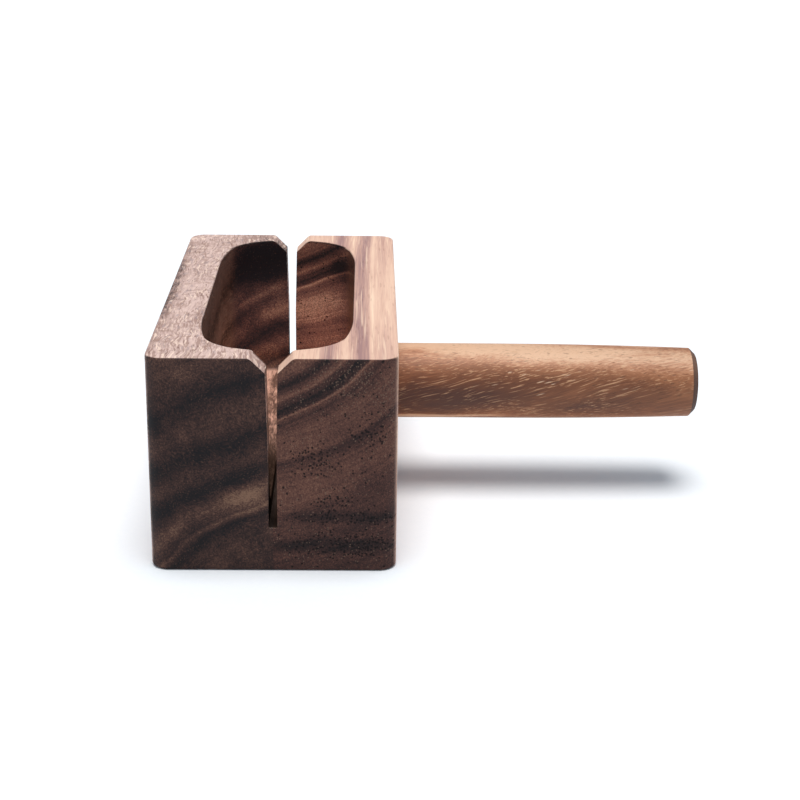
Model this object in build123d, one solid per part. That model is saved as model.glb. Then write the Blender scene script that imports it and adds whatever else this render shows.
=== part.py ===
from build123d import *
import math
import os

# Mallet-shaped wooden nutcracker. Millimetres, +Z up.
# The head is a block of two boards glued along a low web, hollowed from above and slotted at both ends.
# The origin is the middle of the head's base. The handle points along +X and the head's grain runs along Y.

# Head block
head_width = 76.0
head_length = 150.0
head_height = 69.0
corner_radius = 5.5
base_edge_radius = 1.2
top_edge_break = 0.6

# Hollow
side_wall = 14.0
end_wall = 8.5
floor_thickness = 19.0
floor_cove_radius = 5.0
rim_break = 0.5
side_blend_radius = 90.0
side_blend_turn = 12.0
shoulder_radius = 17.0
shoulder_turn = 56.0

# Slot between the two boards, above the glued web
web_height = 14.4
slot_width = 2.7
slot_flare_height = 42.0
slot_width_at_mouth = 3.8
mouth_bevel = 4.6
mouth_round_radius = 2.5

# Handle, a turned bar with a gentle taper towards its free end
handle_diameter = 25.6
handle_end_diameter = 23.6
handle_reach = 103.2
handle_parallel_length = 38.0
handle_end_bevel = 1.9
handle_bevel_break = 0.5
handle_axis_height = 37.0

# Round tenon through the side wall, spread by a wedge driven in from the hollow
tenon_diameter = 19.0
tenon_root = 1.0
wedge_length = 11.0
wedge_thick_end = 2.6
wedge_thin_end = 1.2
kerf_run_out = 0.6

FACE_OVERRUN = 5.0


def cavity_outline():
    """Plan of the hollow: straight sides that bend in through three tangent arcs to each end."""
    half_width = head_width / 2 - side_wall
    half_length = head_length / 2 - end_wall
    first = math.radians(side_blend_turn)
    second = math.radians(side_blend_turn + shoulder_turn)
    inset = side_blend_radius * (1 - math.cos(first))
    inset += shoulder_radius * (math.cos(first) - math.cos(second))
    end_radius = (half_width - inset) / math.cos(second)
    arcs_length = side_blend_radius * math.sin(first)
    arcs_length += shoulder_radius * (math.sin(second) - math.sin(first))
    arcs_length += end_radius * (1 - math.sin(second))

    side = Line((half_width, 0), (half_width, half_length - arcs_length))
    blend = JernArc(side @ 1, side % 1, side_blend_radius, side_blend_turn)
    shoulder = JernArc(blend @ 1, blend % 1, shoulder_radius, shoulder_turn)
    end = JernArc(shoulder @ 1, shoulder % 1, end_radius, 90 - side_blend_turn - shoulder_turn)
    corner = Curve() + [side, blend, shoulder, end]
    half = corner + mirror(corner, about=Plane.XZ)
    return make_face(half + mirror(half, about=Plane.YZ))


def cavity_tool():
    """Everything removed by the hollow, with a cove where its walls meet its floor."""
    depth = head_height - floor_thickness
    hollow = Pos(0, 0, floor_thickness) * extrude(cavity_outline(), depth + FACE_OVERRUN)
    floor_edges = hollow.faces().sort_by(Axis.Z)[0].edges()
    return fillet(floor_edges, floor_cove_radius)


def slot_tool():
    """The gap between the boards: parallel above the web, then flared up to a bevelled mouth."""
    half = Plane.XZ * make_face(slot_half_outline())
    section = half + mirror(half, about=Plane.YZ)
    return extrude(section, head_length / 2 + FACE_OVERRUN, both=True)


def slot_half_outline():
    """Right half of the gap's section; an arc rounds the bevel over into the top face."""
    low = slot_width / 2
    high = slot_width_at_mouth / 2
    mouth = high + mouth_bevel
    tangent = mouth_round_radius * math.tan(math.radians(22.5))
    drop = tangent * math.sin(math.radians(45))
    web = Line((0, web_height), (low, web_height))
    wall = Line(web @ 1, (low, slot_flare_height))
    flare = Line(wall @ 1, (high, head_height - mouth_bevel))
    bevel = Line(flare @ 1, (mouth - drop, head_height - drop))
    over = JernArc(bevel @ 1, (1, 1), mouth_round_radius, -45)
    rise = Line(over @ 1, (mouth + tangent, head_height + FACE_OVERRUN))
    lid = Line(rise @ 1, (0, head_height + FACE_OVERRUN))
    middle = Line(lid @ 1, web @ 0)
    return Curve() + [web, wall, flare, bevel, over, rise, lid, middle]


def head_block():
    """Outer block with rounded upright corners and base, before it is hollowed."""
    block = extrude(RectangleRounded(head_width, head_length, corner_radius), head_height)
    block = fillet(block.faces().sort_by(Axis.Z)[0].edges(), base_edge_radius)
    return fillet(block.faces().sort_by(Axis.Z)[-1].edges(), top_edge_break)


def is_rim_edge(edge):
    """True for the edges around the hollow in the top face."""
    middle = edge.center()
    on_top = abs(middle.Z - head_height) < 0.01
    short_of_sides = abs(middle.X) < head_width / 2 - side_wall / 2
    short_of_ends = abs(middle.Y) < head_length / 2 - end_wall / 2
    return on_top and short_of_sides and short_of_ends and abs(middle.X) > slot_width_at_mouth / 2


def whole_head():
    """Both boards together, hollowed and slotted."""
    head = head_block() - cavity_tool()
    head = fillet(head.edges().filter_by(is_rim_edge), rim_break)
    return head - slot_tool()


def board(head, side):
    """One board of the head: side is -1 for the left one and +1 for the right one."""
    half = Box(head_width, 2 * head_length, 3 * head_height)
    return head & (Pos(side * head_width / 2, 0, 0) * half)


def along_x(start, length, radius):
    """A round bar on the handle's axis."""
    bar = Cylinder(radius, length, align=(Align.CENTER, Align.CENTER, Align.MIN))
    return Pos(start, 0, handle_axis_height) * Rot(0, 90, 0) * bar


def tenon_bore():
    """Through hole for the tenon in the right board."""
    start = head_width / 2 - side_wall - FACE_OVERRUN
    return along_x(start, side_wall + 2 * FACE_OVERRUN, tenon_diameter / 2)


def wedge_blank(length, thick, thin):
    """Upright wedge on the handle's axis, thick at the hollow and thin towards the handle."""
    inner = head_width / 2 - side_wall
    outline = Polyline(
        (inner, -thick / 2),
        (inner + length, -thin / 2),
        (inner + length, thin / 2),
        (inner, thick / 2),
        close=True,
    )
    plan = make_face(outline)
    slab = extrude(plan, tenon_diameter / 2 + FACE_OVERRUN, both=True)
    return Pos(0, 0, handle_axis_height) * slab


def tenon_wedge():
    """The wedge, trimmed round with the tenon."""
    blank = wedge_blank(wedge_length, wedge_thick_end, wedge_thin_end)
    return blank & along_x(head_width / 2 - side_wall, wedge_length, tenon_diameter / 2)


def handle_grip():
    """The turned grip: parallel near the head, then an easy taper to a bevelled end."""
    face = head_width / 2
    full = handle_diameter / 2
    slim = handle_end_diameter / 2
    tip = face + handle_reach
    upper = Line((face, 0), (face, full))
    parallel = Line(upper @ 1, (face + handle_parallel_length, full))
    taper = TangentArc(parallel @ 1, (tip - handle_end_bevel, slim), tangent=(1, 0))
    bevel = Line(taper @ 1, (tip, slim - handle_end_bevel))
    end = Line(bevel @ 1, (tip, 0))
    axis_line = Line(end @ 1, (face, 0))
    profile = make_face(Curve() + [upper, parallel, taper, bevel, end, axis_line])
    bevel_corners = [corner for corner in profile.vertices() if corner.Y > 0]
    bevel_corners = ShapeList(bevel_corners).sort_by(Axis.X)[-2:]
    profile = fillet(bevel_corners, handle_bevel_break)
    return Pos(0, 0, handle_axis_height) * revolve(profile, axis=Axis.X)


def handle():
    """Grip and tenon in one piece, with the sawn kerf that the wedge spreads."""
    inner = head_width / 2 - side_wall
    tenon = along_x(inner, side_wall + tenon_root, tenon_diameter / 2)
    run_out = wedge_blank(wedge_length + kerf_run_out, wedge_thin_end, wedge_thin_end)
    kerf = wedge_blank(wedge_length, wedge_thick_end, wedge_thin_end)
    return handle_grip() + tenon - kerf - run_out


def save(shape, name):
    """Write one piece to parts/ under its node name."""
    solids = shape.solids()
    if len(solids) != 1:
        raise ValueError(f"{name} has {len(solids)} solids")
    export_step(solids[0], os.path.join("parts", name + ".step"))


os.makedirs("parts", exist_ok=True)
head = whole_head()
save(board(head, -1), "head_left")
save(board(head, 1) - tenon_bore(), "head_right")
save(handle(), "handle")
save(tenon_wedge(), "tenon_wedge")
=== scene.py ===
import math

import bpy
from mathutils import Matrix, Vector

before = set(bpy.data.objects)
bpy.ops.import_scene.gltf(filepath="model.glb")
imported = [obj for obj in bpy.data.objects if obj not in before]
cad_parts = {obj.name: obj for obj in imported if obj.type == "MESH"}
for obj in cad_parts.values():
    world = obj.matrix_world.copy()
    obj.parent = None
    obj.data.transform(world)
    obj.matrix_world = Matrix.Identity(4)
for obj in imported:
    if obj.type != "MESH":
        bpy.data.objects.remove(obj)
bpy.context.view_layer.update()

# Camera: where it stands in the frame (metres) and how it is turned (degrees)
CAMERA_PLACE = Vector((0.0282, -0.5529, 0.2273))
CAMERA_PITCH = 19.67
CAMERA_YAW = 1.225
CAMERA_ROLL = 0.81
CAMERA_LENS_MM = 76.4
CAMERA_SENSOR_MM = 36.0
CAMERA_CLIP = (0.01, 50.0)

# Studio, in metres
FLOOR_HALF = 6.0
FLOOR_SPECK = 0.002
SKY_COLOUR = (0.70, 0.85, 1.0, 1.0)
SKY_STRENGTH = 0.42

# Woods are described in millimetres
MM = 1000.0
MIDDLE = (0.5, 0.5, 0.5)
RING_CURL = (0.35, 0.35, 0.35)
SPOT_SWAY = (0.45, 0.45, 0.45)
YEAR_ALONG = 0.02
WOOD_IOR = 1.5
BUMP_DISTANCE = 0.00025

# Upright boxes centred on the head's middle line: half width, half length, bottom and top
HOLLOW_BOX = (25.0, 67.3, 16.0, 68.4)
HOLLOW_FLOOR_BOX = (25.0, 67.3, 16.0, 24.0)
SLOT_BOX = (2.6, 74.9, 13.5, 60.0)
FLOOR_CALM = 0.8

# Where the painted light and shade change inside the head: heights, and for the painted shade on the
# floor's front also a stretch along Y. The specular level fades out under the painted shade.
FLOOR_TO_WALL = (20.0, 30.0)
WALL_LOW_TO_HIGH = (44.0, 64.0)
DARK_FLOOR_HEIGHTS = (23.0, 32.0)
DARK_FLOOR_STRETCH = (-44.0, 14.0)
DARK_FLOOR_SHARE = 0.93
DARK_SLOT_HEIGHTS = (20.0, 48.0)
DARK_SLOT_SHARE = 0.95
MATT_SHARE = 0.9


class Nodes:
    """Short calls that build one material's node tree."""

    def __init__(self, tree):
        self.tree = tree

    def add(self, kind, **settings):
        node = self.tree.nodes.new(kind)
        for name, value in settings.items():
            setattr(node, name, value)
        return node

    def put(self, socket, value):
        """Links value to the socket if it comes from a node, or else sets it there."""
        if isinstance(value, bpy.types.NodeSocket):
            self.tree.links.new(value, socket)
        else:
            socket.default_value = value

    def math(self, operation, first, second=0.0, clamp=False):
        node = self.add("ShaderNodeMath", operation=operation, use_clamp=clamp)
        self.put(node.inputs[0], first)
        self.put(node.inputs[1], second)
        return node.outputs[0]

    def vector(self, operation, first, second=(0.0, 0.0, 0.0)):
        node = self.add("ShaderNodeVectorMath", operation=operation)
        self.put(node.inputs[0], first)
        self.put(node.inputs[1], second)
        return node.outputs["Value"] if operation == "LENGTH" else node.outputs[0]

    def split(self, vector):
        node = self.add("ShaderNodeSeparateXYZ")
        self.put(node.inputs[0], vector)
        return node.outputs[0], node.outputs[1], node.outputs[2]

    def join(self, x, y, z):
        node = self.add("ShaderNodeCombineXYZ")
        for socket, value in zip(node.inputs, (x, y, z)):
            self.put(socket, value)
        return node.outputs[0]

    def smooth(self, value, low, high, start=0.0, end=1.0, kind="SMOOTHSTEP"):
        """A step of value from start at low to end at high."""
        node = self.add("ShaderNodeMapRange", interpolation_type=kind)
        for socket, number in zip(node.inputs, (value, low, high, start, end)):
            self.put(socket, number)
        return node.outputs[0]

    def nudge(self, tone, amount, depth):
        """Tone plus depth times how far amount is from one half."""
        return self.math("ADD", tone, self.math("MULTIPLY", self.math("SUBTRACT", amount, 0.5), depth))

    def noise(self, place, size, detail=2.0, roughness=0.5):
        """Noise with lumps of about size, a length or a length along each axis, as (value, colour)."""
        node = self.add("ShaderNodeTexNoise")
        lengths = size if isinstance(size, tuple) else (size, size, size)
        stretched = self.vector("MULTIPLY", place, tuple(1.0 / length for length in lengths))
        self.put(node.inputs["Vector"], stretched)
        self.put(node.inputs["Scale"], 1.0)
        self.put(node.inputs["Detail"], detail)
        self.put(node.inputs["Roughness"], roughness)
        return node.outputs[0], node.outputs[1]

    def cells(self, place, size):
        """Voronoi cells of about size, as (distance to the cell's point, the cell's random colour)."""
        node = self.add("ShaderNodeTexVoronoi")
        stretched = self.vector("MULTIPLY", place, tuple(1.0 / length for length in size))
        self.put(node.inputs["Vector"], stretched)
        self.put(node.inputs["Scale"], 1.0)
        return node.outputs["Distance"], node.outputs["Color"]

    def ramp(self, value, stops):
        """A colour ramp: stops are (place, grey or colour), in order."""
        node = self.add("ShaderNodeValToRGB")
        elements = node.color_ramp.elements
        while len(elements) < len(stops):
            elements.new(0.5)
        for element, (place, colour) in zip(elements, stops):
            element.position = place
            rgb = colour if isinstance(colour, tuple) else (colour, colour, colour)
            element.color = (*rgb, 1.0)
        self.put(node.inputs[0], value)
        return node.outputs[0]

    def blend(self, factor, first, second, mode="MIX"):
        """First blended with second by factor; each is a colour or comes from a node."""
        node = self.add("ShaderNodeMix", data_type="RGBA", blend_type=mode)
        self.put(node.inputs["Factor"], factor)
        colour_sockets = [socket for socket in node.inputs if socket.type == "RGBA"]
        for socket, value in zip(colour_sockets, (first, second)):
            self.put(socket, value if isinstance(value, bpy.types.NodeSocket) else (*value, 1.0))
        return [socket for socket in node.outputs if socket.type == "RGBA"][0]


def rings_ramp(nodes, radius, tones):
    """Tone against ring radius: tones are (radius in mm, tone from 0 dark to 1 light)."""
    first, last = tones[0][0], tones[-1][0]
    share = nodes.smooth(radius, first, last, kind="LINEAR")
    stops = [((ring - first) / (last - first), tone) for ring, tone in tones]
    return nodes.ramp(share, stops)


def spot(nodes, place, centre, reach):
    """1 at centre, easing to 0 on the ellipsoid whose half sizes are reach, in mm."""
    offset = nodes.vector("SUBTRACT", place, centre)
    offset = nodes.vector("MULTIPLY", offset, tuple(1.0 / half for half in reach))
    return nodes.smooth(nodes.vector("LENGTH", offset), 0.25, 1.0, 1.0, 0.0)


def with_spots(nodes, total, place, spots):
    """Total plus the shift of each spot: spots are (centre, reach, shift)."""
    for centre, reach, shift in spots:
        share = spot(nodes, place, centre, reach)
        total = nodes.math("ADD", total, nodes.math("MULTIPLY", share, shift))
    return total


def grain_place(nodes, place, look):
    """Place in the wood, in mm: x and z across the grain, y along it."""
    turn = nodes.add("ShaderNodeVectorRotate", rotation_type="EULER_XYZ")
    nodes.put(turn.inputs["Vector"], place)
    nodes.put(turn.inputs["Center"], look["centre"])
    nodes.put(turn.inputs["Rotation"], tuple(math.radians(a) for a in look["turn"]))
    return turn.outputs[0]


def end_grain(nodes, look):
    """0 on faces along the grain and 1 on faces across it."""
    normal = nodes.add("ShaderNodeTexCoord").outputs["Normal"]
    turn = nodes.add("ShaderNodeVectorRotate", rotation_type="EULER_XYZ")
    nodes.put(turn.inputs["Vector"], normal)
    nodes.put(turn.inputs["Rotation"], tuple(math.radians(a) for a in look["turn"]))
    along = nodes.split(turn.outputs[0])[1]
    return nodes.smooth(nodes.math("ABSOLUTE", along), 0.06, 0.62)


def bent_grain(nodes, place, look):
    """Place moved by a slow and a curling noise, as (rings' place, fibres' place, the whole move)."""
    slow = nodes.noise(place, look["warp_size"])[1]
    push = nodes.vector("MULTIPLY", nodes.vector("SUBTRACT", slow, MIDDLE), look["warp"])
    curl = nodes.noise(place, look["curl_size"])[1]
    twist = nodes.vector("MULTIPLY", nodes.vector("SUBTRACT", curl, MIDDLE), look["curl"])
    gentle = nodes.vector("ADD", place, push)
    rings = nodes.vector("ADD", gentle, nodes.vector("MULTIPLY", twist, RING_CURL))
    return rings, nodes.vector("ADD", gentle, twist), nodes.vector("ADD", push, twist)


def wood_tone(nodes, rings, fibres, look):
    """Tone from 0 dark to 1 light, by ring, year, fibre and patch, as (tone, the fibre noise)."""
    across, along, up = nodes.split(rings)
    pith_across, pith_up = look["pith"]
    across = nodes.math("SUBTRACT", across, pith_across)
    up = nodes.math("SUBTRACT", up, pith_up)
    radius = nodes.vector("LENGTH", nodes.join(across, 0.0, up))
    year_place = nodes.join(radius, nodes.math("MULTIPLY", along, YEAR_ALONG), look["seed"])
    years = nodes.noise(year_place, look["year"], 3.0, 0.6)[0]
    fine = nodes.noise(fibres, look["fibre"], 3.0, 0.65)[0]
    patch = nodes.noise(fibres, look["patch_size"], 3.0, 0.55)[0]
    tone = rings_ramp(nodes, radius, look["rings"])
    tone = nodes.nudge(tone, years, look["year_depth"])
    tone = nodes.nudge(tone, fine, look["fibre_depth"])
    return nodes.nudge(tone, patch, look["patch_depth"]), fine


def within(nodes, place, box):
    """1 inside an upright box centred on the head's middle line, in mm, and 0 outside it."""
    half_x, half_y, bottom, top = box
    x, y, z = nodes.split(place)
    mask = nodes.math("LESS_THAN", nodes.math("ABSOLUTE", x), half_x)
    mask = nodes.math("MULTIPLY", mask, nodes.math("LESS_THAN", nodes.math("ABSOLUTE", y), half_y))
    mask = nodes.math("MULTIPLY", mask, nodes.math("GREATER_THAN", z, bottom))
    return nodes.math("MULTIPLY", mask, nodes.math("LESS_THAN", z, top))


def hollow_painted_light_and_shade(nodes, place, look, high, low):
    """White outside the hollow; inside it, the colour that multiplies the wood there: painted light and
    shade, changing with height.
    """
    up = nodes.split(place)[2]
    gain = nodes.blend(nodes.smooth(up, *WALL_LOW_TO_HIGH), look[low], look[high])
    gain = nodes.blend(nodes.smooth(up, *FLOOR_TO_WALL), look["floor_painted_light"], gain)
    return nodes.blend(within(nodes, place, HOLLOW_BOX), (1.0, 1.0, 1.0), gain)


def painted_shade_share(nodes, place):
    """How much painted shade darkens the wood at the front of the hollow's floor and low in the slot."""
    along, up = nodes.split(place)[1:]
    hollow = within(nodes, place, HOLLOW_BOX)
    low = nodes.math("MULTIPLY", hollow, nodes.smooth(up, *DARK_FLOOR_HEIGHTS, 1.0, 0.0))
    front = nodes.smooth(along, *DARK_FLOOR_STRETCH, DARK_FLOOR_SHARE, 0.0)
    slot = nodes.math("MULTIPLY", within(nodes, place, SLOT_BOX), nodes.math("SUBTRACT", 1.0, hollow))
    depth = nodes.smooth(up, *DARK_SLOT_HEIGHTS, DARK_SLOT_SHARE, 0.0)
    return nodes.math("MAXIMUM", nodes.math("MULTIPLY", low, front), nodes.math("MULTIPLY", slot, depth))


def streaked(nodes, colour, place, fibres, look):
    """Colour under the look's streaks, which are fainter on the hollow's floor."""
    calm = 1.0
    if look["hollowed"]:
        on_floor = within(nodes, place, HOLLOW_FLOOR_BOX)
        calm = nodes.math("SUBTRACT", 1.0, nodes.math("MULTIPLY", on_floor, FLOOR_CALM))
    for streak in look["streaks"]:
        line = nodes.noise(fibres, streak["size"], roughness=0.6)[0]
        mask = nodes.smooth(line, streak["low"], streak["high"])
        crowd = nodes.noise(fibres, streak["crowd"])[0]
        crowd = nodes.smooth(crowd, 0.35, 0.6, streak["least"], 1.0)
        crowd = with_spots(nodes, crowd, place, streak["where"])
        mask = nodes.math("MULTIPLY", nodes.math("MULTIPLY", mask, crowd), calm, clamp=True)
        colour = nodes.blend(nodes.math("MULTIPLY", mask, streak["ink"]), colour, streak["colour"])
    return colour


def pored(nodes, colour, place, fibres, ends, look):
    """Colour with the look's pores drawn in, as (colour, how much pore there is)."""
    dents = 0.0
    for pore in look["pores"]:
        gap, lot = nodes.cells(fibres, pore["size"])
        crowd = nodes.smooth(nodes.noise(fibres, pore["crowd"])[0], 0.38, 0.62)
        share = nodes.math("MULTIPLY", nodes.math("ADD", crowd, pore["evenness"]), pore["share"])
        share = with_spots(nodes, share, place, pore["where"])
        wanted = nodes.math("LESS_THAN", nodes.split(lot)[0], share)
        hole = nodes.smooth(gap, pore["inner"], pore["outer"], 1.0, 0.0)
        hole = nodes.math("MULTIPLY", hole, wanted)
        ink = nodes.smooth(ends, 0.0, 1.0, pore["ink"], pore["end_ink"])
        fill = nodes.blend(ends, pore["colour"], pore["end_colour"])
        colour = nodes.blend(nodes.math("MULTIPLY", hole, ink), colour, fill)
        dents = nodes.math("ADD", dents, hole)
    return colour, dents


def relief(nodes, shader, fine, grit, dents, ends, look):
    """Roughness and bump, from the same fibres, grit and pores as the colour."""
    rough = nodes.math("ADD", nodes.math("MULTIPLY", fine, 0.2), look["roughness"])
    rough = nodes.math("ADD", rough, nodes.math("MULTIPLY", dents, 0.2))
    rough = nodes.math("ADD", rough, nodes.math("MULTIPLY", ends, 0.12), clamp=True)
    nodes.put(shader.inputs["Roughness"], rough)

    height = nodes.math("SUBTRACT", nodes.math("MULTIPLY", fine, 0.6), dents)
    height = nodes.math("ADD", height, nodes.math("MULTIPLY", grit, 0.4))
    bump = nodes.add("ShaderNodeBump")
    nodes.put(bump.inputs["Strength"], look["bump"])
    nodes.put(bump.inputs["Distance"], BUMP_DISTANCE)
    nodes.put(bump.inputs["Height"], height)
    nodes.put(shader.inputs["Normal"], bump.outputs[0])


def wood(name, look):
    """Solid procedural wood: the same rings, fibres and pores run through the whole piece."""
    material = bpy.data.materials.new(name)
    material.use_nodes = True
    nodes = Nodes(material.node_tree)
    shader = material.node_tree.nodes["Principled BSDF"]

    place = nodes.vector("MULTIPLY", nodes.add("ShaderNodeTexCoord").outputs["Object"], (MM, MM, MM))
    ends = end_grain(nodes, look)
    rings, fibres, move = bent_grain(nodes, grain_place(nodes, place, look), look)
    tone, fine = wood_tone(nodes, rings, fibres, look)
    swayed = nodes.vector("ADD", place, nodes.vector("MULTIPLY", move, SPOT_SWAY))
    tone = with_spots(nodes, tone, swayed, look["spots"])
    grit = nodes.noise(fibres, look["grit"], roughness=0.7)[0]

    side_colour = streaked(nodes, nodes.ramp(tone, look["palette"]), place, fibres, look)
    end_colour = nodes.ramp(nodes.nudge(tone, grit, look["grit_depth"]), look["end_palette"])
    # Inside the hollow the colour is multiplied by painted light and shade: end walls lighter, side
    # walls darker, the floor lighter.
    if look["hollowed"]:
        side_painted_light_and_shade = hollow_painted_light_and_shade(nodes, place, look, "side_high_painted_shade", "side_low_painted_shade")
        side_colour = nodes.blend(1.0, side_colour, side_painted_light_and_shade, "MULTIPLY")
        end_painted_light = hollow_painted_light_and_shade(nodes, place, look, "end_high_painted_light", "end_low_painted_light")
        end_colour = nodes.blend(1.0, end_colour, end_painted_light, "MULTIPLY")
    colour = nodes.blend(ends, side_colour, end_colour)
    colour, dents = pored(nodes, colour, place, fibres, ends, look)

    shader.inputs["IOR"].default_value = WOOD_IOR
    shader.inputs["Specular IOR Level"].default_value = look["shine"]
    # Painted shade: a near-black colour at the front of the hollow's floor and low in the slot, where
    # the specular level also fades out.
    if look["hollowed"]:
        shade_amount = painted_shade_share(nodes, place)
        colour = nodes.blend(shade_amount, colour, look["painted_shade_colour"])
        shine = nodes.smooth(shade_amount, 0.0, MATT_SHARE, look["shine"], 0.0)
        nodes.put(shader.inputs["Specular IOR Level"], shine)
    nodes.put(shader.inputs["Base Color"], colour)
    relief(nodes, shader, fine, grit, dents, ends, look)
    return material


# The looks of the woods, in mm. Sizes across, along and up are in the wood's own axes; spots and
# "where" are (centre, half sizes, shift) in the frame's axes. Rings run about the pith, each
# (radius, tone). A depth says how much a noise counts. Palettes run from dark to light, one for
# faces along the grain and one for end grain. Streaks and pores are marks of a second colour,
# laid with the strength ink.
LEFT_BOARD = {
    "hollowed": True,
    "centre": (0.0, 0.0, 0.0),
    "turn": (0.0, 0.0, 0.0),
    "pith": (40.0, -80.0),
    "seed": 3.0,
    "warp_size": (38.0, 160.0, 30.0),
    "warp": (9.0, 0.0, 9.0),
    "curl_size": (9.0, 14.0, 9.0),
    "curl": (5.0, 5.0, 4.0),
    "rings": [
        (94.0, 0.35), (101.0, 0.42), (105.0, 0.3), (108.5, 0.0), (111.0, 0.55), (112.2, 0.3),
        (116.5, 0.6), (119.5, 0.4), (123.0, -0.1), (127.0, 0.28), (130.0, 0.38), (135.5, 0.0),
        (139.0, 0.38), (144.0, 0.36), (149.5, -0.05), (153.0, 0.36), (158.0, 0.5), (164.0, 0.45),
        (169.0, 0.35), (174.0, 0.3),
    ],
    "year": (1.4, 1.0, 1.0),
    "year_depth": 0.3,
    "fibre": (0.5, 8.0, 0.5),
    "fibre_depth": 0.9,
    "patch_size": (8.0, 12.0, 8.0),
    "patch_depth": 0.7,
    "grit": (0.5, 1.4, 0.5),
    "grit_depth": 1.0,
    "spots": [
        # Painted shade high on the hollow's back wall and painted light lower down on it.
        ((-12.0, 66.0, 61.0), (15.0, 22.0, 11.0), -0.75),
        ((-7.0, 66.0, 45.0), (20.0, 14.0, 11.0), 0.35),
        ((-38.0, 0.0, 69.0), (5.0, 90.0, 4.0), -0.3),
        ((-8.0, -75.0, 23.0), (14.0, 6.0, 8.0), 0.3),
    ],
    "streaks": [
        {
            "size": (0.8, 13.0, 0.8), "low": 0.52, "high": 0.61, "crowd": (7.0, 16.0, 7.0),
            "least": -0.5,
            "where": [((-28.0, -62.0, 69.0), (60.0, 105.0, 44.0), 1.1)],
            "ink": 0.72, "colour": (0.31, 0.175, 0.135),
        },
        {
            "size": (3.4, 2.3, 2.0), "low": 0.52, "high": 0.6, "crowd": (9.0, 14.0, 9.0),
            "least": -0.6,
            "where": [((-30.0, 52.0, 69.0), (50.0, 88.0, 44.0), 1.2)],
            "ink": 0.55, "colour": (0.36, 0.215, 0.165),
        },
        {
            "size": (1.1, 5.0, 1.1), "low": 0.55, "high": 0.68, "crowd": (9.0, 12.0, 9.0),
            "least": 0.1,
            "where": [((-36.0, 0.0, 69.0), (9.0, 95.0, 9.0), 0.8)],
            "ink": 0.6, "colour": (0.3, 0.22, 0.215),
        },
        {
            "size": (0.8, 7.0, 0.8), "low": 0.54, "high": 0.64, "crowd": (7.0, 10.0, 7.0),
            "least": 0.3, "where": [], "ink": 0.7, "colour": (0.92, 0.68, 0.54),
        },
    ],
    "palette": [
        (0.0, (0.1, 0.062, 0.05)), (0.2, (0.42, 0.27, 0.225)), (0.5, (0.65, 0.45, 0.385)),
        (1.0, (0.8, 0.58, 0.49)),
    ],
    "end_palette": [
        (0.0, (0.0115, 0.0095, 0.0108)), (0.3, (0.036, 0.0187, 0.0168)),
        (0.6, (0.088, 0.0425, 0.032)), (1.0, (0.23, 0.125, 0.08)),
    ],
    "pores": [
        {
            "size": (0.65, 5.0, 0.65), "crowd": (7.0, 9.0, 7.0), "evenness": 0.2, "share": 0.35,
            "where": [], "inner": 0.2, "outer": 0.42, "ink": 0.6, "end_ink": 0.42,
            "colour": (0.2, 0.11, 0.085), "end_colour": (0.12, 0.07, 0.05),
        },
    ],
    "roughness": 0.42,
    "bump": 0.5,
    "shine": 0.16,
    # Painted light and shade in the hollow: end walls lightened, side walls darkened, the floor
    # lightened, each by height; and the near-black colour of the painted shade at the floor's front and
    # the slot's foot.
    "end_low_painted_light": (3.2, 3.4, 3.6),
    "end_high_painted_light": (1.7, 1.5, 1.5),
    "side_low_painted_shade": (0.5, 0.42, 0.36),
    "side_high_painted_shade": (0.32, 0.24, 0.2),
    "floor_painted_light": (1.35, 1.1, 0.94),
    "painted_shade_colour": (0.009, 0.0055, 0.0038),
}

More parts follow.
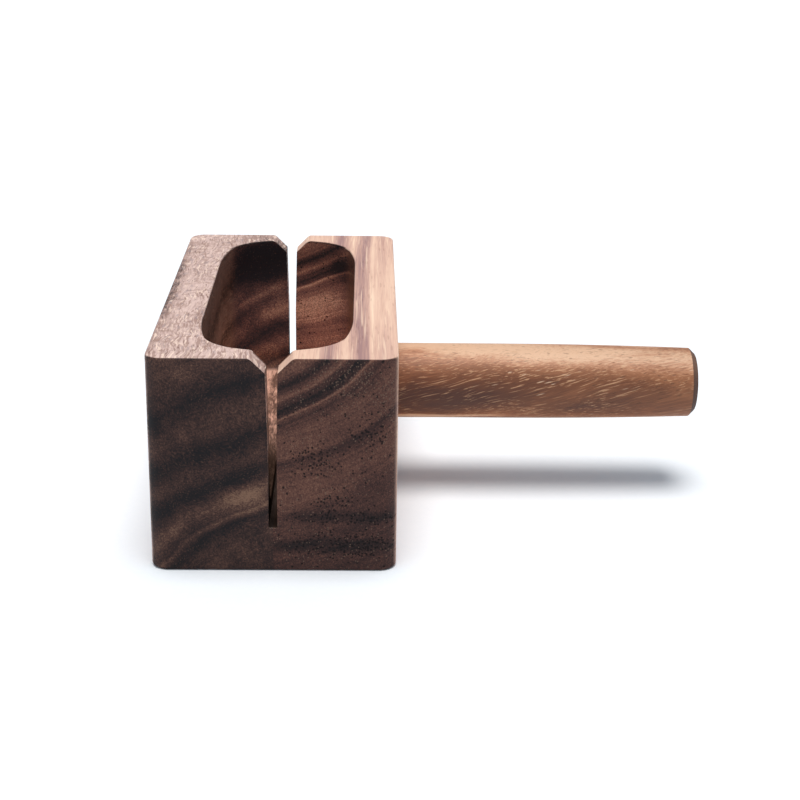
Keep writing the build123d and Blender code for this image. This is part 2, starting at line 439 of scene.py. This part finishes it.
RIGHT_BOARD = {
    "hollowed": True,
    "centre": (0.0, 0.0, 0.0),
    "turn": (0.0, 0.0, 0.0),
    "pith": (-17.0, 113.0),
    "seed": 11.0,
    "warp_size": (45.0, 260.0, 34.0),
    "warp": (5.0, 0.0, 7.0),
    "curl_size": (10.0, 60.0, 10.0),
    "curl": (1.4, 0.0, 1.4),
    "rings": [
        (44.0, 0.55), (50.0, 0.65), (54.0, 0.5), (56.0, 0.0), (58.0, 0.4), (59.5, 0.7),
        (60.4, 0.35), (62.7, 0.0), (64.3, 0.2), (65.0, 0.8), (65.6, 0.45), (67.6, 0.3), (69.5, 0.5),
        (75.0, 0.6), (79.0, 0.5), (81.0, 0.3), (83.5, 0.5), (90.0, 0.66), (94.0, 0.55),
        (97.0, 0.38), (100.0, 0.42), (104.0, 0.36), (108.0, 0.24), (111.0, 0.36), (120.0, 0.3),
    ],
    "year": (1.1, 1.0, 1.0),
    "year_depth": 0.55,
    "fibre": (0.35, 24.0, 0.35),
    "fibre_depth": 0.9,
    "patch_size": (12.0, 60.0, 12.0),
    "patch_depth": 0.35,
    "grit": (0.5, 1.4, 0.5),
    "grit_depth": 0.9,
    "spots": [
        # Painted light low on the hollow's back wall and painted shade higher up on it.
        ((13.0, 66.0, 43.0), (26.0, 14.0, 16.0), 0.25),
        ((20.0, 62.0, 61.0), (8.0, 12.0, 7.0), -0.35),
        ((33.0, 0.0, 69.0), (9.0, 90.0, 8.0), 0.2),
        ((22.0, -75.0, 18.3), (26.0, 8.0, 2.8), -0.24),
        ((20.0, -75.0, 8.4), (32.0, 8.0, 3.6), -0.28),
        ((30.0, -75.0, 38.0), (18.0, 8.0, 16.0), -0.08),
    ],
    "streaks": [
        {
            "size": (0.7, 40.0, 0.7), "low": 0.52, "high": 0.66, "crowd": (8.0, 60.0, 8.0),
            "least": 0.3, "where": [], "ink": 0.5, "colour": (0.52, 0.29, 0.22),
        },
        {
            "size": (0.9, 50.0, 0.9), "low": 0.55, "high": 0.68, "crowd": (8.0, 60.0, 8.0),
            "least": 0.4, "where": [], "ink": 0.6, "colour": (0.95, 0.68, 0.48),
        },
    ],
    "palette": [
        (0.0, (0.36, 0.2, 0.18)), (0.3, (0.58, 0.34, 0.265)), (0.6, (0.76, 0.48, 0.35)),
        (1.0, (0.88, 0.61, 0.44)),
    ],
    "end_palette": [
        (0.0, (0.013, 0.009, 0.0095)), (0.35, (0.06, 0.0265, 0.0222)), (0.7, (0.148, 0.064, 0.045)),
        (1.0, (0.3, 0.155, 0.1)),
    ],
    "pores": [
        {
            "size": (0.95, 7.0, 0.95), "crowd": (6.0, 50.0, 6.0), "evenness": 0.0, "share": 0.12,
            "where": [
                ((13.4, -75.0, 36.4), (10.0, 160.0, 8.0), 0.75),
                ((19.0, -75.0, 23.0), (9.0, 160.0, 6.0), 0.75),
                ((23.0, -75.0, 17.6), (24.0, 160.0, 3.2), 0.9),
                ((23.0, -75.0, 8.7), (26.0, 160.0, 6.0), 1.0),
                ((29.3, -75.0, 46.4), (9.0, 160.0, 8.0), 0.7),
                ((22.0, 66.0, 64.0), (10.0, 20.0, 6.0), 0.6),
            ],
            "inner": 0.26, "outer": 0.5, "ink": 0.2, "end_ink": 0.88, "colour": (0.2, 0.11, 0.09),
            "end_colour": (0.009, 0.006, 0.0065),
        },
        {
            "size": (0.72, 6.0, 0.72), "crowd": (8.0, 50.0, 8.0), "evenness": 0.1, "share": 0.2,
            "where": [
                ((22.0, -75.0, 62.0), (14.0, 160.0, 11.0), 0.9),
                ((36.0, -75.0, 55.0), (6.0, 160.0, 12.0), 0.8),
            ],
            "inner": 0.2, "outer": 0.42, "ink": 0.15, "end_ink": 0.6, "colour": (0.2, 0.11, 0.09),
            "end_colour": (0.2, 0.125, 0.09),
        },
    ],
    "roughness": 0.42,
    "bump": 0.45,
    "shine": 0.16,
    # Painted light and shade in the hollow: end walls lightened, side walls darkened, the floor
    # lightened, each by height; and the near-black colour of the painted shade at the floor's front and
    # the slot's foot.
    "end_low_painted_light": (3.3, 3.75, 3.95),
    "end_high_painted_light": (2.6, 2.5, 2.3),
    "side_low_painted_shade": (0.36, 0.27, 0.22),
    "side_high_painted_shade": (0.26, 0.19, 0.155),
    "floor_painted_light": (1.25, 1.03, 0.88),
    "painted_shade_colour": (0.009, 0.0055, 0.0038),
}

HANDLE_WOOD = {
    "hollowed": False,
    "centre": (90.0, 0.0, 37.0),
    "turn": (0.0, 15.0, 90.0),
    "pith": (46.0, 30.0),
    "seed": 23.0,
    "warp_size": (26.0, 60.0, 26.0),
    "warp": (8.0, 0.0, 8.0),
    "curl_size": (12.0, 40.0, 12.0),
    "curl": (1.4, 0.0, 1.4),
    "rings": [
        (20.0, 0.5), (30.0, 0.6), (36.0, 0.3), (40.0, 0.55), (46.0, 0.25), (52.0, 0.65),
        (60.0, 0.4), (68.0, 0.55), (80.0, 0.4),
    ],
    "year": (1.6, 1.0, 1.0),
    "year_depth": 0.3,
    "fibre": (0.42, 16.0, 0.42),
    "fibre_depth": 0.7,
    "patch_size": (9.0, 30.0, 9.0),
    "patch_depth": 0.5,
    "grit": (0.4, 1.2, 0.4),
    "grit_depth": 0.4,
    "spots": [
        # Painted highlight: a lighter band along the handle's top.
        ((85.0, 0.0, 53.0), (150.0, 19.0, 17.0), 0.5),
        ((132.0, -9.0, 43.5), (24.0, 8.0, 5.0), 0.06),
        # The next three spots are painted shade: the handle's lower front darker, most of all next to
        # the head.
        ((112.0, -11.0, 30.5), (56.0, 9.0, 6.0), -0.26),
        ((44.0, -9.0, 34.0), (46.0, 9.0, 9.0), -0.42),
        ((85.0, -12.0, 38.0), (90.0, 9.0, 10.0), -0.2),
        ((50.0, -8.0, 27.4), (30.0, 6.0, 1.7), 0.6),
    ],
    "streaks": [
        {
            "size": (0.42, 15.0, 0.42), "low": 0.575, "high": 0.66, "crowd": (7.0, 24.0, 7.0),
            "least": 0.0,
            "where": [((80.0, -12.0, 43.0), (52.0, 10.0, 9.0), 1.0)],
            "ink": 0.62, "colour": (0.7, 0.4, 0.22),
        },
        {
            "size": (0.5, 12.0, 0.5), "low": 0.56, "high": 0.66, "crowd": (7.0, 24.0, 7.0),
            "least": 0.4, "where": [], "ink": 0.4, "colour": (0.11, 0.045, 0.025),
        },
    ],
    "palette": [
        (0.0, (0.1, 0.04, 0.026)), (0.3, (0.205, 0.075, 0.035)), (0.6, (0.36, 0.142, 0.064)),
        (0.8, (0.59, 0.275, 0.145)), (1.0, (0.86, 0.53, 0.33)),
    ],
    "end_palette": [
        (0.0, (0.03, 0.014, 0.01)), (0.5, (0.085, 0.038, 0.025)), (1.0, (0.17, 0.085, 0.052)),
    ],
    "pores": [
        {
            "size": (0.75, 4.0, 0.75), "crowd": (8.0, 20.0, 8.0), "evenness": 0.0, "share": 0.06,
            "where": [((125.0, -10.0, 38.0), (34.0, 10.0, 14.0), 0.4)],
            "inner": 0.14, "outer": 0.34, "ink": 0.5, "end_ink": 0.6, "colour": (0.1, 0.05, 0.03),
            "end_colour": (0.03, 0.015, 0.01),
        },
        # Light flecks of the grain that are partly painted glints.
        {
            "size": (0.85, 7.5, 0.85), "crowd": (8.0, 24.0, 8.0), "evenness": 0.0, "share": 0.12,
            "where": [((78.0, -12.0, 41.0), (46.0, 10.0, 9.0), 0.3)],
            "inner": 0.08, "outer": 0.3, "ink": 0.75, "end_ink": 0.0, "colour": (0.78, 0.52, 0.34),
            "end_colour": (0.2, 0.1, 0.06),
        },
    ],
    "roughness": 0.42,
    "bump": 0.45,
    "shine": 0.3,
}

WEDGE_WOOD = {**HANDLE_WOOD, "seed": 40.0, "turn": (0.0, 0.0, 90.0)}


def paint(node_name, material):
    """Gives a CAD node its material through the node's own slots."""
    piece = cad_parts[node_name]
    if not piece.material_slots:
        piece.data.materials.append(material)
    for slot in piece.material_slots:
        slot.material = material


def floor_material():
    """Pale paper with a faint speck."""
    material = bpy.data.materials.new("floor_paper")
    material.use_nodes = True
    nodes = Nodes(material.node_tree)
    shader = material.node_tree.nodes["Principled BSDF"]
    place = nodes.add("ShaderNodeTexCoord").outputs["Object"]
    speck = nodes.noise(place, FLOOR_SPECK)[0]
    paper = nodes.ramp(speck, [(0.0, (0.86, 0.87, 0.88)), (1.0, (0.90, 0.90, 0.90))])
    nodes.put(shader.inputs["Base Color"], paper)
    shader.inputs["Roughness"].default_value = 0.9
    shader.inputs["Specular IOR Level"].default_value = 0.1
    return material


def floor():
    """A plain pale floor that fills the view."""
    half = FLOOR_HALF
    mesh = bpy.data.meshes.new("floor")
    corners = [(-half, -half, 0.0), (half, -half, 0.0), (half, half, 0.0), (-half, half, 0.0)]
    mesh.from_pydata(corners, [], [(0, 1, 2, 3)])
    plane = bpy.data.objects.new("floor", mesh)
    bpy.context.scene.collection.objects.link(plane)
    mesh.materials.append(floor_material())


def sky():
    """Even pale light from all round."""
    world = bpy.data.worlds.new("studio")
    world.use_nodes = True
    background = world.node_tree.nodes["Background"]
    background.inputs["Color"].default_value = SKY_COLOUR
    background.inputs["Strength"].default_value = SKY_STRENGTH
    bpy.context.scene.world = world


def sun(name, side, energy, width):
    """A light that shines on the object from side; width is how wide it looks, in degrees."""
    data = bpy.data.lights.new(name, "SUN")
    data.energy = energy
    data.angle = math.radians(width)
    lamp = bpy.data.objects.new(name, data)
    bpy.context.scene.collection.objects.link(lamp)
    lamp.location = side
    lamp.rotation_mode = "QUATERNION"
    lamp.rotation_quaternion = (-Vector(side)).to_track_quat("-Z", "Y")


def studio():
    """A soft light overhead, a fainter wide one from behind and pale air all round."""
    sky()
    sun("overhead", (0.02, -0.10, 1.0), energy=2.75, width=32)
    sun("behind", (0.0, 0.5, 1.0), energy=0.25, width=60)


def camera():
    """Looks along +Y, down by the pitch, turned right by the yaw and rolled."""
    pitch, yaw, roll = (math.radians(a) for a in (CAMERA_PITCH, CAMERA_YAW, CAMERA_ROLL))
    ahead = Vector((math.sin(yaw) * math.cos(pitch), math.cos(yaw) * math.cos(pitch), -math.sin(pitch)))
    level = Vector((math.cos(yaw), -math.sin(yaw), 0.0))
    upright = level.cross(ahead)
    right = math.cos(roll) * level + math.sin(roll) * upright
    top = right.cross(ahead)
    data = bpy.data.cameras.new("camera")
    data.lens = CAMERA_LENS_MM
    data.sensor_width = CAMERA_SENSOR_MM
    data.clip_start, data.clip_end = CAMERA_CLIP
    rig = bpy.data.objects.new("camera", data)
    bpy.context.scene.collection.objects.link(rig)
    turn = Matrix((right, top, -ahead)).transposed()
    rig.matrix_world = Matrix.Translation(CAMERA_PLACE) @ turn.to_4x4()
    bpy.context.scene.camera = rig


camera()
studio()
floor()
bpy.context.scene.view_settings.view_transform = "Standard"

paint("head_left", wood("oiled_board_left", LEFT_BOARD))
paint("head_right", wood("oiled_board_right", RIGHT_BOARD))
paint("handle", wood("oiled_handle", HANDLE_WOOD))
paint("tenon_wedge", wood("wedge_wood", WEDGE_WOOD))
